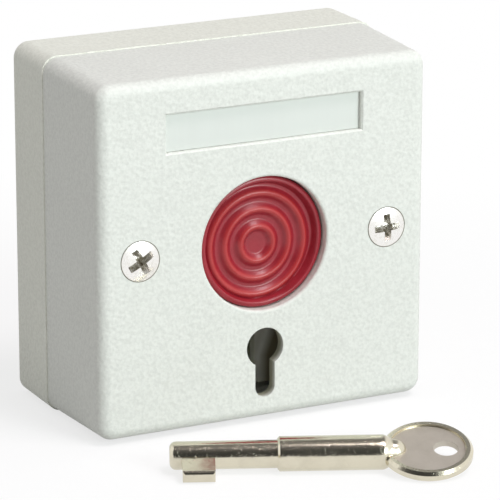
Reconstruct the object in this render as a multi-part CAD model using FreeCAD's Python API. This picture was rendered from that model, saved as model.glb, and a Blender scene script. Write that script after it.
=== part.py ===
import FreeCAD, Part
import math
import os

# Panic button with key reset. All sizes are in millimetres.
# The wall is the plane y = 0, the front faces -Y, +X is to the right and +Z is up.
# The origin is the middle of the back face, between the two wall screws.

V = FreeCAD.Vector
same = 1e-6                # two places closer than this are one

# Housing
overall_depth = 34.0
rear_depth = 12.4
cover_half = 32.0          # half the cover's width where it meets the rear box
cover_draft = 0.6          # each side of the cover is this much narrower at the face
rear_step = 0.2            # the rear box stands this far proud of the cover
corner_round = 2.8
face_round = 2.05
wall = 2.2
face_wall = 2.1
floor_wall = 2.2
lip_height = 1.6
lip_wall = 0.9
lip_gap = 0.1
web_wall = 1.6

# Places of the features on the face
axis_z = 0.35              # height of the button and of the two cover screws
key_edge = 13.6            # keyhole's round part to the cover's lower edge
label_edge = 10.0          # label's middle to the cover's upper edge
screw_edge = 8.25          # cover screws to the cover's side edges

# Label recess and plate
label_width = 37.3
label_height = 6.75
label_depth = 1.3
label_wall = 0.3
label_gap = 0.08
label_bevel = 0.3

# Cover screws, M3.5 with raised countersunk heads, and their inserts
screw_radius = 1.75
head_radius = 3.58
head_dome = 0.6
head_gap = 0.12
screw_clearance = 0.2
screw_bite = 6.4           # length of thread in the insert
boss_radius = 4.0
meet_gap = 0.1             # between the cover's boss and the rear box's post
meet_depth = 0.6           # the post stands this far past the parting plane
insert_radius = 2.5
insert_length = 7.0
insert_gap = 0.05
cross_length = 5.2
cross_width = 1.3
cross_depth = 2.3
cross_taper = 0.45
cross_turns = (30.0, 4.0)  # turn of the left and the right screw's cross, in degrees

# Button
hole_share = 0.375         # the hole's radius as a share of half the cover's width
hole_round = 0.5
button_gap = 0.45
button_recess = 2.7        # the floor between the rings lies this far behind the face
button_travel = 4.0
cap_wall = 2.0
cap_bevel = 0.45
skirt_wall = 1.5
ring_count = 3
ring_height = 0.7
ring_crest = 0.35          # width of a ring's crest
ring_foot = 1.9            # width of a ring at its foot
band_share = 0.75          # part of the rings' pitch between the last ring and the cap's edge
band_height = 1.5          # the raised band round the cap's edge
band_width = 0.35
band_slope = 0.5
collar_wall = 1.5
collar_share = 0.64        # the collar's part of the depth that the works leave free
stop_gap = 0.1
flange_reach = 1.3         # the button's flange is this much wider than the hole
flange_wall = 1.5

# Plunger, bridge and contacts
plunger_radius = 3.0
plunger_gap = 0.08
socket_wall = 1.5
socket_share = 0.6         # the socket's part of the room between the cap and the pressed guide
spigot_radius = 1.6
spigot_gap = 0.1
spring_gap = 0.35
button_wire = 0.8
button_turns = 5
bridge_share = 2.08        # the bridge's length as a share of the terminals' pitch
bridge_width = 4.6
bridge_wall = 0.7
bridge_wire = 0.4
bridge_turns = 3
bridge_spring_length = 2.6
clip_wall = 0.6
clip_radius = 3.0
groove_radius = 1.15
clip_mouth = 1.0           # half the width of the clip's opening
spigot_end = 0.8           # spigot left past the clip
tip_edge = 2.4             # from the tips' middle to the bridge's end
strip_wall = 0.7
strip_width = 4.0
tip_radius = 1.2
tip_height = 0.5
fit_gap = 0.05             # round fixed pieces in their holes, on the radius
touch_gap = 0.02

# Coil springs are drawn with straight stretches of a six-sided wire
coil_steps = 12
coil_sides = 6

# Latch slide
tooth_gap = 0.3
latch_play = 0.3
latch_wall = 2.0
latch_rim = 2.4
latch_lift = 2.5
slide_gap = 0.12
tooth_half = 6.0
foot_gap = 0.95            # between the works and the cover's lower wall
peg_radius = 0.95
peg_length = 1.6
peg_root = 1.0             # length of the peg inside its carrier
plate_corner = 2.0         # outer corners of the latch and of the frame
latch_spring_length = 6.2
latch_wire = 0.5
latch_turns = 4

# Mechanism frame and its screws
frame_wall = 2.5
well_gap = 0.7             # between the pressed flange and the frame
rail_wall = 1.7
ledge_gap = 0.5            # between the latch's opening and the ledge that it slides on
lug_edge = 7.5             # frame screws to the cover's side edges
lug_z = 14.0               # above and below the button's axis
lug_radius = 3.4
post_radius = 3.0
frame_screw_radius = 1.45
frame_screw_bite = 6.0
pilot_end = 1.0            # pilot hole left past a screw's end
thread_gap = 0.05
pan_radius = 2.7
pan_height = 1.6
slot_width = 0.6
slot_depth = 0.8
slot_turn = 35.0
works_gap = 1.2            # between the works and the cover screws' posts
tab_wall = 3.6
tab_half = 3.4

# Terminal base
base_floor = 1.4
base_hole_gap = 0.3        # round the plunger, where it passes the base
base_wall = 1.6
bridge_room = 0.8
terminal_steps = (-1.5, -0.5, 0.5, 1.5)    # places of the four terminals, in pitches
terminal_side = 1.0        # base past the outer clamps
head_room = 1.25           # between the upper base screw's head and the base
riser_z = 7.0
bend_round = 0.4           # inside radius of the strips' bends
terminal_edge = 4.4        # from the terminal screws to the base's top edge
terminal_screw_radius = 1.5
terminal_bite = 5.0
clamp_width = 6.2
clamp_wall = 1.0
barrier_wall = 1.0
barrier_height = 3.2
lug_wall = 3.0
lug_length = 7.6
base_screw_radius = 1.3
base_screw_bite = 2.3

# Rear box
cable_radius = 7.0
cable_rim_wall = 1.3
cable_rim_height = 1.2
fixing_spacing = 40.0
fixing_radius = 2.2
fixing_slot = 8.0
fixing_pad = 2.2
fixing_pad_height = 1.0

# Keyhole and key
keyhole_radius = 3.55
keyhole_slot = 3.8
keyhole_reach = 9.1        # from the round part's centre to the slot's end
key_length = 51.3
shank_radius = 2.4
shank_round = 1.1
collar_start = 18.2
collar_radius = 2.98
collar_bevel = 0.35
collar_gap = 0.2           # from the collar's end to the bow's rim
neck_radius = 2.2
neck_length = 2.1
bit_start = 2.1
bit_length = 5.5
bit_reach = 6.55
bit_wall = 2.3
bit_round = 0.7
bow_radius = 7.75
bow_rim = 1.2
bow_rim_wall = 1.9
bow_web_wall = 1.1
bow_hole_radius = 2.13
bow_hole_offset = 3.1
bow_bevel = 0.5
key_gap = 0.3
key_tip_x = -25.77
key_tip_y = -49.5
key_yaw = -23.9

# Planes and places worked out from the sizes above
front_y = -overall_depth
face_in_y = front_y + face_wall
root_y = front_y + face_wall / 2
part_y = -rear_depth
meet_y = part_y - meet_depth
cover_front_half = cover_half - cover_draft
rear_half = cover_half + rear_step
rear_in_half = rear_half - wall
table_z = -rear_half
rebate_y = part_y - lip_height - lip_gap
key_z = key_edge - cover_half
collar_end = key_length - 2 * bow_radius - collar_gap
label_z = cover_half - label_edge
screw_x = cover_half - screw_edge
lug_x = cover_half - lug_edge
hole_radius = hole_share * cover_half

button_depth = stop_gap + flange_wall + button_travel + well_gap + frame_wall
contact_depth = base_floor + 2 * strip_wall + 4 * tip_height + 2 * touch_gap + bridge_wall + button_travel
works_depth = button_depth + contact_depth + clamp_wall + pan_height
collar_depth = collar_share * (overall_depth - face_wall - works_depth - floor_wall)

button_y = front_y + button_recess
button_radius = hole_radius - button_gap
ring_pitch = button_radius / (ring_count + band_share)
cap_in_y = button_y + cap_wall
collar_end_y = face_in_y + collar_depth
flange_front_y = collar_end_y + stop_gap
flange_back_y = flange_front_y + flange_wall
flange_radius = hole_radius + flange_reach
frame_front_y = flange_back_y + button_travel + well_gap
guide_room = button_travel + tooth_gap
socket_radius = plunger_radius + fit_gap + socket_wall
socket_end_y = cap_in_y + socket_share * (frame_front_y - guide_room - cap_in_y)

tooth_front_y = flange_front_y + latch_play
latch_back_y = flange_front_y + button_travel - latch_play
latch_front_y = latch_back_y - latch_wall
latch_mid_y = latch_back_y - latch_wall / 2
frame_half = screw_x - boss_radius - works_gap
rail_in_x = frame_half - rail_wall
latch_half = rail_in_x - slide_gap
opening_radius = flange_radius + tooth_gap
opening_drop = latch_lift + tooth_gap
latch_top_z = axis_z + opening_radius + latch_rim
window_low_z = key_z - bit_reach - key_gap
latch_low_z = wall + foot_gap - cover_front_half
spring_seat_z = latch_top_z + latch_spring_length
shelf_z = key_z + bit_wall / 2 - latch_lift

frame_back_y = frame_front_y + frame_wall
rail_y = latch_back_y + slide_gap
ledge_x = opening_radius + ledge_gap
frame_low_z = latch_low_z
frame_top_z = spring_seat_z + tab_wall
guide_y = socket_end_y + guide_room
tab_screw_z = spring_seat_z + tab_wall / 2

closed_seat_y = frame_back_y + base_floor
closed_tip_y = closed_seat_y + strip_wall + tip_height
bridge_front_y = closed_tip_y + touch_gap + tip_height
bridge_back_y = bridge_front_y + bridge_wall
open_tip_y = bridge_back_y + tip_height + button_travel + touch_gap
base_back_y = open_tip_y + tip_height
strip_back_y = base_back_y + strip_wall
clamp_back_y = strip_back_y + clamp_wall
outer_bend = 0.85 * strip_wall   # the outside of a bend is cut within the strip's wall
clip_y = bridge_back_y + bridge_spring_length
terminal_pitch = (frame_half - clamp_width / 2 - terminal_side) / terminal_steps[-1]
bridge_length = bridge_share * terminal_pitch
contact_x = bridge_length / 2 - tip_edge
terminal_xs = [terminal_pitch * step for step in terminal_steps]
pocket_half = bridge_length / 2 + bridge_room
pocket_low_z = axis_z - bridge_width / 2 - bridge_room
base_low_z = pocket_low_z - base_wall
base_top_z = tab_screw_z - pan_radius - head_room
terminal_z = base_top_z - terminal_edge
lug_screw_low_z = base_low_z - lug_length / 2
lug_back_y = frame_back_y + lug_wall


def ring_of_arcs(half_x, half_z, radius, y, cx, cz):
    """Closed outline of a rounded rectangle in the plane y."""
    arcs = []
    for turn, (side, height) in enumerate([(1, 1), (-1, 1), (-1, -1), (1, -1)]):
        centre = V(cx + side * (half_x - radius), y, cz + height * (half_z - radius))
        points = []
        for eighth in (0, 1, 2):
            angle = math.pi / 2 * turn + math.pi / 4 * eighth
            points.append(centre + V(radius * math.cos(angle), 0, radius * math.sin(angle)))
        arcs.append(points)
    edges = []
    for turn, points in enumerate(arcs):
        edges.append(Part.Arc(*points).toShape())
        following = arcs[(turn + 1) % 4][0]
        if points[2].distanceToPoint(following) > same:
            edges.append(Part.LineSegment(points[2], following).toShape())
    return Part.Wire(edges)


def rounded_block(half_x, half_z, radius, y0, y1, cx=0.0, cz=0.0):
    outline = ring_of_arcs(half_x, half_z, radius, y0, cx, cz)
    return Part.Face(outline).extrude(V(0, y1 - y0, 0))


def drafted_block(half_back, half_front, radius, y_back, y_front):
    """Square block with rounded edges whose sides lean in towards the front."""
    front = (-half_front, y_front, -half_front)
    solid = Part.makeWedge(
        *front, -half_back, -half_back, half_front, y_back, half_front, half_back, half_back
    )
    leaning = [e for e in solid.Edges if abs(e.Vertexes[0].Y - e.Vertexes[-1].Y) > same]
    return solid.makeFillet(radius, leaning)


def block(x0, x1, y0, y1, z0, z1):
    return Part.makeBox(x1 - x0, y1 - y0, z1 - z0, V(x0, y0, z0))


def rod(radius, y0, y1, x=0.0, z=0.0):
    return Part.makeCylinder(radius, y1 - y0, V(x, y0, z), V(0, 1, 0))


def tube(outer, inner, y0, y1, x=0.0, z=0.0):
    return rod(outer, y0, y1, x, z).cut(rod(inner, y0, y1, x, z))


def chain(start, steps):
    """Lines and arcs in a row: a step is an end point, or the middle and end points of an arc."""
    edges = []
    here = start
    for step in steps:
        if isinstance(step, tuple):
            edges.append(Part.Arc(here, step[0], step[1]).toShape())
            here = step[1]
        else:
            edges.append(Part.LineSegment(here, step).toShape())
            here = step
    return edges


def turned(start, steps, x=0.0, z=0.0):
    """Solid turned about an axis along Y, from a half section drawn with radius as X."""
    section = Part.Face(Part.Wire(chain(start, steps + [start])))
    solid = section.revolve(V(0, 0, 0), V(0, 1, 0), 360)
    solid.translate(V(x, 0, z))
    return solid


def joined(shapes):
    return shapes[0].multiFuse(shapes[1:]).removeSplitter()


def edges_on_plane(shape, y):
    return [e for e in shape.Edges if all(abs(v.Y - y) < same for v in e.Vertexes)]


def coil(mean_radius, wire, length, turns):
    """Compression spring along +Z from z = 0 to z = length, as a chain of straight stretches."""
    rise = length - wire
    count = turns * coil_steps
    rings = []
    for step in range(count + 1):
        angle = 2 * math.pi * step / coil_steps
        outward = V(math.cos(angle), math.sin(angle), 0)
        centre = outward * mean_radius + V(0, 0, wire / 2 + rise * step / count)
        corners = []
        for side in range(coil_sides):
            around = 2 * math.pi * (side + 0.5) / coil_sides
            corner = outward * (wire / 2 * math.cos(around)) + V(0, 0, wire / 2 * math.sin(around))
            corners.append(centre + corner)
        rings.append(corners)
    faces = [Part.Face(Part.makePolygon(r + r[:1])) for r in (rings[0], rings[-1])]
    for here, there in zip(rings, rings[1:]):
        for side in range(coil_sides):
            following = (side + 1) % coil_sides
            for corners in (
                (here[side], here[following], there[following]),
                (here[side], there[following], there[side]),
            ):
                faces.append(Part.Face(Part.makePolygon(list(corners) + [corners[0]])))
    spring = Part.Solid(Part.Shell(faces))
    if spring.Volume < 0:
        spring.reverse()
    return spring


def coil_along_y(mean_radius, wire, y0, y1, turns, x, z):
    spring = coil(mean_radius, wire, y1 - y0, turns)
    spring.rotate(V(0, 0, 0), V(1, 0, 0), -90)
    spring.translate(V(x, y0, z))
    return spring


def pan_screw(radius, x, z, seat_y, bite):
    """Cylinder head screw that is driven towards -Y, with a slot in its head."""
    top_y = seat_y + pan_height
    screw = joined([rod(radius, seat_y - bite, seat_y, x, z), rod(pan_radius, seat_y, top_y, x, z)])
    slot = block(-pan_radius, pan_radius, top_y - slot_depth, top_y, -slot_width / 2, slot_width / 2)
    slot.rotate(V(0, 0, 0), V(0, 1, 0), slot_turn)
    slot.translate(V(x, 0, z))
    return screw.cut(slot)


def keyhole_tool(y0, y1):
    slot_round = keyhole_slot / 2
    slot = rounded_block(
        slot_round, keyhole_reach / 2, slot_round, y0, y1, 0.0, key_z - keyhole_reach / 2
    )
    return rod(keyhole_radius, y0, y1, 0.0, key_z).fuse(slot)


def label_block(gap, y0, y1):
    half_x = label_width / 2 - gap
    half_z = label_height / 2 - gap
    return block(-half_x, half_x, y0, y1, label_z - half_z, label_z + half_z)


def label_mouth():
    """Bevel round the mouth of the label's recess."""
    half_x = label_width / 2
    half_z = label_height / 2
    low_z = label_z - half_z
    high_z = label_z + half_z
    mouth = (half_x + label_bevel, front_y + label_bevel, high_z + label_bevel, high_z, half_x)
    return Part.makeWedge(
        -half_x - label_bevel, front_y, low_z - label_bevel, low_z, -half_x, *mouth
    )


def screw_places():
    return [(-screw_x, axis_z), (screw_x, axis_z)]


def lug_places():
    return [(-lug_x, axis_z + lug_z), (lug_x, axis_z - lug_z)]


def side_web(x, z, wall_x, y0, y1):
    """Upright web from a post at x to the side wall next to it."""
    ends = sorted([x, math.copysign(wall_x, x)])
    return block(*ends, y0, y1, z - web_wall / 2, z + web_wall / 2)


def button_hole():
    """Tool for the hole of the button, with a rounded mouth."""
    arc_middle = hole_round * (1 - math.sqrt(0.5))
    return turned(
        V(0, front_y, 0),
        [
            V(hole_radius + hole_round, front_y, 0),
            (
                V(hole_radius + arc_middle, front_y + arc_middle, 0),
                V(hole_radius, front_y + hole_round, 0),
            ),
            V(hole_radius, collar_end_y, 0),
            V(0, collar_end_y, 0),
        ],
        0.0,
        axis_z,
    )


def front_cover():
    shell = drafted_block(cover_half, cover_front_half, corner_round, part_y, front_y)
    shell = shell.makeFillet(face_round, edges_on_plane(shell, front_y))
    cavity = drafted_block(
        cover_half - wall, cover_front_half - wall, corner_round - wall, part_y, face_in_y
    )
    rebate_half = rear_in_half + lip_wall + lip_gap
    rebate_round = corner_round - (rear_half - rebate_half)
    rebate = rounded_block(rebate_half, rebate_half, rebate_round, rebate_y, part_y)
    shell = shell.cut([cavity, rebate])
    added = [tube(hole_radius + collar_wall, hole_radius, root_y, collar_end_y, 0.0, axis_z)]
    for x, z in screw_places():
        added.append(rod(boss_radius, root_y, meet_y - meet_gap, x, z))
        added.append(side_web(x, z, cover_front_half - wall / 2, root_y, rebate_y))
    for x, z in lug_places():
        added.append(rod(post_radius, root_y, frame_front_y, x, z))
        added.append(side_web(x, z, cover_front_half - wall / 2, root_y, frame_front_y))
    for side in (-1, 1):
        rib_x = side * (ledge_x + latch_half) / 2
        rib_ends = (rib_x - web_wall / 2, rib_x + web_wall / 2)
        added.append(
            block(*rib_ends, root_y, latch_front_y - slide_gap, key_z, latch_top_z - latch_rim)
        )
    cover = joined([shell] + added)
    tools = [
        button_hole(),
        keyhole_tool(front_y, face_in_y),
        label_block(0.0, front_y, front_y + label_depth),
        label_mouth(),
    ]
    seat_depth = head_radius + head_gap - screw_radius - screw_clearance
    for x, z in screw_places():
        tools.append(rod(screw_radius + screw_clearance, front_y, meet_y, x, z))
        tools.append(
            Part.makeCone(
                head_radius + head_gap,
                screw_radius + screw_clearance,
                seat_depth,
                V(x, front_y, z),
                V(0, 1, 0),
            )
        )
    for x, z in lug_places():
        depth = frame_screw_bite + pilot_end
        tools.append(rod(frame_screw_radius + thread_gap, frame_front_y - depth, frame_front_y, x, z))
    return cover.cut(tools)


def rear_box():
    shell = rounded_block(rear_half, rear_half, corner_round, part_y, 0.0)
    inner_round = corner_round - wall
    shell = shell.cut(rounded_block(rear_in_half, rear_in_half, inner_round, part_y, -floor_wall))
    lip_half = rear_in_half + lip_wall
    lip_y = part_y - lip_height
    lip = rounded_block(lip_half, lip_half, inner_round + lip_wall, lip_y, part_y)
    lip = lip.cut(rounded_block(rear_in_half, rear_in_half, inner_round, lip_y, part_y))
    half_floor = -floor_wall / 2
    added = [lip, rod(cable_radius + cable_rim_wall, -floor_wall - cable_rim_height, half_floor)]
    for x, z in screw_places():
        added.append(rod(boss_radius, meet_y, half_floor, x, z))
        added.append(side_web(x, z, rear_half - wall / 2, part_y, half_floor))
    slot_half = fixing_slot / 2
    for z in (-fixing_spacing / 2, fixing_spacing / 2):
        pad_x = fixing_radius + fixing_pad
        pad_z = slot_half + fixing_pad
        pad_y = -floor_wall - fixing_pad_height
        added.append(rounded_block(pad_x, pad_z, pad_x, pad_y, half_floor, 0.0, z))
    box = joined([shell] + added)
    tools = [rod(cable_radius, part_y, 0.0)]
    for x, z in screw_places():
        tools.append(rod(insert_radius + insert_gap, meet_y, meet_y + insert_length, x, z))
        tools.append(rod(screw_radius + screw_clearance, meet_y, -floor_wall, x, z))
    for z in (-fixing_spacing / 2, fixing_spacing / 2):
        tools.append(rounded_block(fixing_radius, slot_half, fixing_radius, part_y, 0.0, 0.0, z))
    return box.cut(tools)


def label_plate():
    floor_y = front_y + label_depth
    return label_block(label_gap, floor_y - label_wall, floor_y)


def cross_recess():
    """Two tapered blades at right angles, widest at y = 0 and closed at y = cross_depth."""
    blades = []
    for turn in (0, 90):
        mouth = (cross_length / 2, cross_width / 2)
        end = (cross_length * cross_taper / 2, cross_width * cross_taper / 2)
        blade = Part.makeWedge(
            -mouth[0], 0, -mouth[1], -end[1], -end[0], mouth[0], cross_depth, mouth[1], end[1], end[0]
        )
        blade.rotate(V(0, 0, 0), V(0, 1, 0), turn)
        blades.append(blade)
    return blades[0].fuse(blades[1])


def cover_screws():
    screws = []
    cone_y = front_y + head_radius - screw_radius
    end_y = meet_y + screw_bite
    sphere = (head_radius ** 2 + head_dome ** 2) / (2 * head_dome)
    mid_radius = head_radius / 2
    mid_y = front_y - head_dome + sphere - math.sqrt(sphere ** 2 - mid_radius ** 2)
    for (x, z), turn in zip(screw_places(), cross_turns):
        screw = turned(
            V(0, front_y - head_dome, 0),
            [
                (V(mid_radius, mid_y, 0), V(head_radius, front_y, 0)),
                V(screw_radius, cone_y, 0),
                V(screw_radius, end_y, 0),
                V(0, end_y, 0),
            ],
        )
        recess = cross_recess()
        recess.translate(V(0, front_y - head_dome, 0))
        recess.rotate(V(0, 0, 0), V(0, 1, 0), -turn)
        screw = screw.cut(recess)
        screw.translate(V(x, 0, z))
        screws.append(screw)
    return Part.makeCompound(screws)


def screw_inserts():
    inserts = []
    for x, z in screw_places():
        inserts.append(tube(insert_radius, screw_radius + fit_gap, meet_y, meet_y + insert_length, x, z))
    return Part.makeCompound(inserts)


def push_button():
    """Red cap: ringed face, skirt, flange and the socket for the plunger, turned in one section."""
    crest_y = button_y - ring_height
    band_y = button_y - band_height
    band_in = button_radius - cap_bevel - band_width
    steps = []
    for ring in range(1, ring_count + 1):
        middle = ring * ring_pitch
        steps.append(V(middle - ring_foot / 2, button_y, 0))
        steps.append(V(middle - ring_crest / 2, crest_y, 0))
        steps.append(V(middle + ring_crest / 2, crest_y, 0))
        steps.append(V(middle + ring_foot / 2, button_y, 0))
    steps += [
        V(band_in - band_slope, button_y, 0),
        V(band_in, band_y, 0),
        V(button_radius - cap_bevel, band_y, 0),
        V(button_radius, band_y + cap_bevel, 0),
        V(button_radius, flange_front_y, 0),
        V(flange_radius, flange_front_y, 0),
        V(flange_radius, flange_back_y, 0),
        V(button_radius - skirt_wall, flange_back_y, 0),
        V(button_radius - skirt_wall, cap_in_y, 0),
        V(socket_radius, cap_in_y, 0),
        V(socket_radius, socket_end_y, 0),
        V(plunger_radius + fit_gap, socket_end_y, 0),
        V(plunger_radius + fit_gap, cap_in_y, 0),
        V(0, cap_in_y, 0),
    ]
    return turned(V(0, button_y, 0), steps, 0.0, axis_z)


def plunger():
    end_y = clip_y + clip_wall + spigot_end
    return turned(
        V(0, cap_in_y, 0),
        [
            V(plunger_radius, cap_in_y, 0),
            V(plunger_radius, bridge_front_y, 0),
            V(spigot_radius, bridge_front_y, 0),
            V(spigot_radius, clip_y, 0),
            V(groove_radius, clip_y, 0),
            V(groove_radius, clip_y + clip_wall + touch_gap, 0),
            V(spigot_radius, clip_y + clip_wall + touch_gap, 0),
            V(spigot_radius, end_y, 0),
            V(0, end_y, 0),
        ],
        0.0,
        axis_z,
    )


def button_spring():
    mean_radius = socket_radius + spring_gap + button_wire / 2
    return coil_along_y(
        mean_radius, button_wire, cap_in_y + touch_gap, frame_front_y - touch_gap, button_turns, 0.0, axis_z
    )


def contact_bridge():
    strip = rounded_block(
        bridge_length / 2, bridge_width / 2, bridge_width / 2, bridge_front_y, bridge_back_y, 0.0, axis_z
    )
    return strip.cut(rod(spigot_radius + spigot_gap, bridge_front_y, bridge_back_y, 0.0, axis_z))


def bridge_tips():
    """Welded tips on both faces of the bridge."""
    tips = []
    for x in (-contact_x, contact_x):
        tips.append(rod(tip_radius, bridge_front_y - tip_height, bridge_front_y, x, axis_z))
        tips.append(rod(tip_radius, bridge_back_y, bridge_back_y + tip_height, x, axis_z))
    return Part.makeCompound(tips)


def bridge_spring():
    mean_radius = spigot_radius + spigot_gap + bridge_wire / 2 + touch_gap
    return coil_along_y(
        mean_radius, bridge_wire, bridge_back_y + touch_gap, clip_y - touch_gap, bridge_turns, 0.0, axis_z
    )


def bridge_clip():
    """Open retaining ring in the plunger's groove."""
    ring = tube(clip_radius, groove_radius + fit_gap, clip_y, clip_y + clip_wall, 0.0, axis_z)
    gap = block(-clip_mouth, clip_mouth, clip_y, clip_y + clip_wall, axis_z - clip_radius, axis_z)
    return ring.cut(gap)


def spring_peg(low_z):
    """Peg in the latch spring's end, standing peg_root deep in its carrier."""
    return Part.makeCylinder(peg_radius, peg_length + peg_root, V(0, latch_mid_y, low_z))


def latch_slide():
    height = latch_top_z - latch_low_z
    middle_z = (latch_top_z + latch_low_z) / 2
    plate = rounded_block(latch_half, height / 2, plate_corner, latch_front_y, latch_back_y, 0.0, middle_z)
    tooth = block(-tooth_half, tooth_half, tooth_front_y, latch_front_y, axis_z, latch_top_z)
    peg = spring_peg(latch_top_z - peg_root)
    opening = rounded_block(
        opening_radius,
        opening_radius + opening_drop / 2,
        opening_radius,
        tooth_front_y,
        latch_back_y,
        0.0,
        axis_z - opening_drop / 2,
    )
    shank_half = shank_radius + key_gap
    shank_slot = block(
        -shank_half, shank_half, latch_front_y, latch_back_y, window_low_z, key_z + shank_half
    )
    swing = block(
        -bit_reach - key_gap, shank_half, latch_front_y, latch_back_y, window_low_z, shelf_z
    )
    return joined([plate, tooth, peg]).cut([opening, shank_slot, swing])


def latch_spring():
    mean_radius = peg_radius + spring_gap + latch_wire / 2
    spring = coil(mean_radius, latch_wire, latch_spring_length - 2 * touch_gap, latch_turns)
    spring.translate(V(0, latch_mid_y, latch_top_z + touch_gap))
    return spring


def mechanism_frame():
    half_height = (frame_top_z - frame_low_z) / 2
    middle_z = (frame_top_z + frame_low_z) / 2
    plate = rounded_block(frame_half, half_height, plate_corner, frame_front_y, frame_back_y, 0.0, middle_z)
    added = [plate]
    for side in (-1, 1):
        rail = sorted([side * rail_in_x, side * frame_half])
        ledge = sorted([side * ledge_x, side * rail_in_x])
        rail_low_z = frame_low_z + plate_corner
        added.append(block(*rail, latch_front_y, frame_front_y, rail_low_z, latch_top_z))
        added.append(block(*ledge, rail_y, frame_front_y, rail_low_z, latch_top_z))
    for x, z in lug_places():
        side = math.copysign(1, x)
        added.append(rod(lug_radius, frame_front_y, frame_back_y, x, z))
        arm = sorted([x, side * (frame_half - rail_wall)])
        added.append(block(*arm, frame_front_y, frame_back_y, z - lug_radius, z + lug_radius))
    added.append(rod(socket_radius, guide_y, frame_front_y, 0.0, axis_z))
    tab_front_y = latch_mid_y - tab_half / 2
    added.append(block(-tab_half, tab_half, tab_front_y, frame_front_y, spring_seat_z, frame_top_z))
    added.append(spring_peg(spring_seat_z - peg_length))
    frame = joined(added)
    tools = [rod(plunger_radius + plunger_gap, guide_y, frame_back_y, 0.0, axis_z)]
    tools.append(rod(shank_radius + key_gap, frame_front_y, frame_front_y + frame_wall / 2, 0.0, key_z))
    for x, z in lug_places():
        tools.append(rod(frame_screw_radius + 2 * thread_gap, frame_front_y, frame_back_y, x, z))
    for z in (tab_screw_z, lug_screw_low_z):
        pilot_y = frame_back_y - base_screw_bite
        tools.append(rod(base_screw_radius + thread_gap, pilot_y, frame_back_y, 0.0, z))
    return frame.cut(tools)


def frame_screws():
    screws = []
    for x, z in lug_places():
        screws.append(pan_screw(frame_screw_radius, x, z, frame_back_y, frame_wall + frame_screw_bite))
    return Part.makeCompound(screws)


def contact_base():
    """Terminal base: a deep pocket for the bridge, seats for the strips and barriers between terminals."""
    body = block(-frame_half, frame_half, frame_back_y, base_back_y, base_low_z, base_top_z)
    added = [body]
    added.append(block(-tab_half, tab_half, frame_back_y, lug_back_y, base_top_z, frame_top_z))
    low_z = base_low_z - lug_length
    added.append(block(-tab_half, tab_half, frame_back_y, lug_back_y, low_z, base_low_z))
    for x in (-terminal_pitch, 0.0, terminal_pitch):
        barrier = (x - barrier_wall / 2, x + barrier_wall / 2)
        barrier_low_z = terminal_z - clamp_width / 2
        added.append(block(*barrier, base_back_y, base_back_y + barrier_height, barrier_low_z, base_top_z))
    base = joined(added)
    riser_top_z = riser_z + strip_wall + fit_gap
    relief_y = base_back_y - bend_round - fit_gap
    tools = [
        block(-pocket_half, pocket_half, closed_seat_y, base_back_y, pocket_low_z, riser_top_z),
        block(-pocket_half, pocket_half, relief_y, base_back_y, riser_z, riser_top_z + bend_round),
        rod(plunger_radius + base_hole_gap, frame_back_y, closed_seat_y, 0.0, axis_z),
    ]
    for x in terminal_xs:
        hole_y = clamp_back_y - terminal_bite - 2 * clamp_wall
        tools.append(rod(terminal_screw_radius + screw_clearance, hole_y, base_back_y, x, terminal_z))
    for z in (tab_screw_z, lug_screw_low_z):
        tools.append(rod(base_screw_radius + 2 * thread_gap, frame_back_y, lug_back_y, 0.0, z))
    return base.cut(tools)


def base_screws():
    screws = []
    for z in (tab_screw_z, lug_screw_low_z):
        screws.append(pan_screw(base_screw_radius, 0.0, z, lug_back_y, lug_wall + base_screw_bite - fit_gap))
    return Part.makeCompound(screws)


def strip_hole(terminal_x):
    return rod(terminal_screw_radius + fit_gap, base_back_y, strip_back_y, terminal_x, terminal_z)


def closed_contact(side):
    """Strip joined by the bridge at rest: foot under the bridge, riser, then the terminal tab."""
    pad = sorted([side * (contact_x - strip_width / 2), side * (contact_x + strip_width / 2)])
    terminal_x = side * terminal_pitch / 2
    tab = (terminal_x - strip_width / 2, terminal_x + strip_width / 2)
    low_z = axis_z - bridge_width / 2
    foot_back_y = closed_seat_y + strip_wall
    foot = block(*pad, closed_seat_y, foot_back_y, low_z, riser_z + strip_wall)
    riser_ends = (min(pad[0], tab[0]), max(pad[1], tab[1]))
    riser = block(*riser_ends, closed_seat_y, strip_back_y, riser_z, riser_z + strip_wall)
    top = block(*tab, base_back_y, strip_back_y, riser_z, terminal_z + clamp_width / 2)
    strip = joined([foot, riser, top])
    low_bends = ((foot_back_y, riser_z), (base_back_y, riser_z + strip_wall))
    high_bends = ((closed_seat_y, riser_z + strip_wall), (strip_back_y, riser_z))
    for corners, radius in ((low_bends, bend_round), (high_bends, outer_bend)):
        bends = []
        for e in strip.Edges:
            middle = e.CenterOfMass
            along_x = abs(e.Vertexes[0].X - e.Vertexes[-1].X) > strip_width / 2
            if along_x and any(abs(middle.y - y) + abs(middle.z - z) < same for y, z in corners):
                bends.append(e)
        strip = strip.makeFillet(radius, bends)
    return strip.cut(strip_hole(terminal_x))


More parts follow.
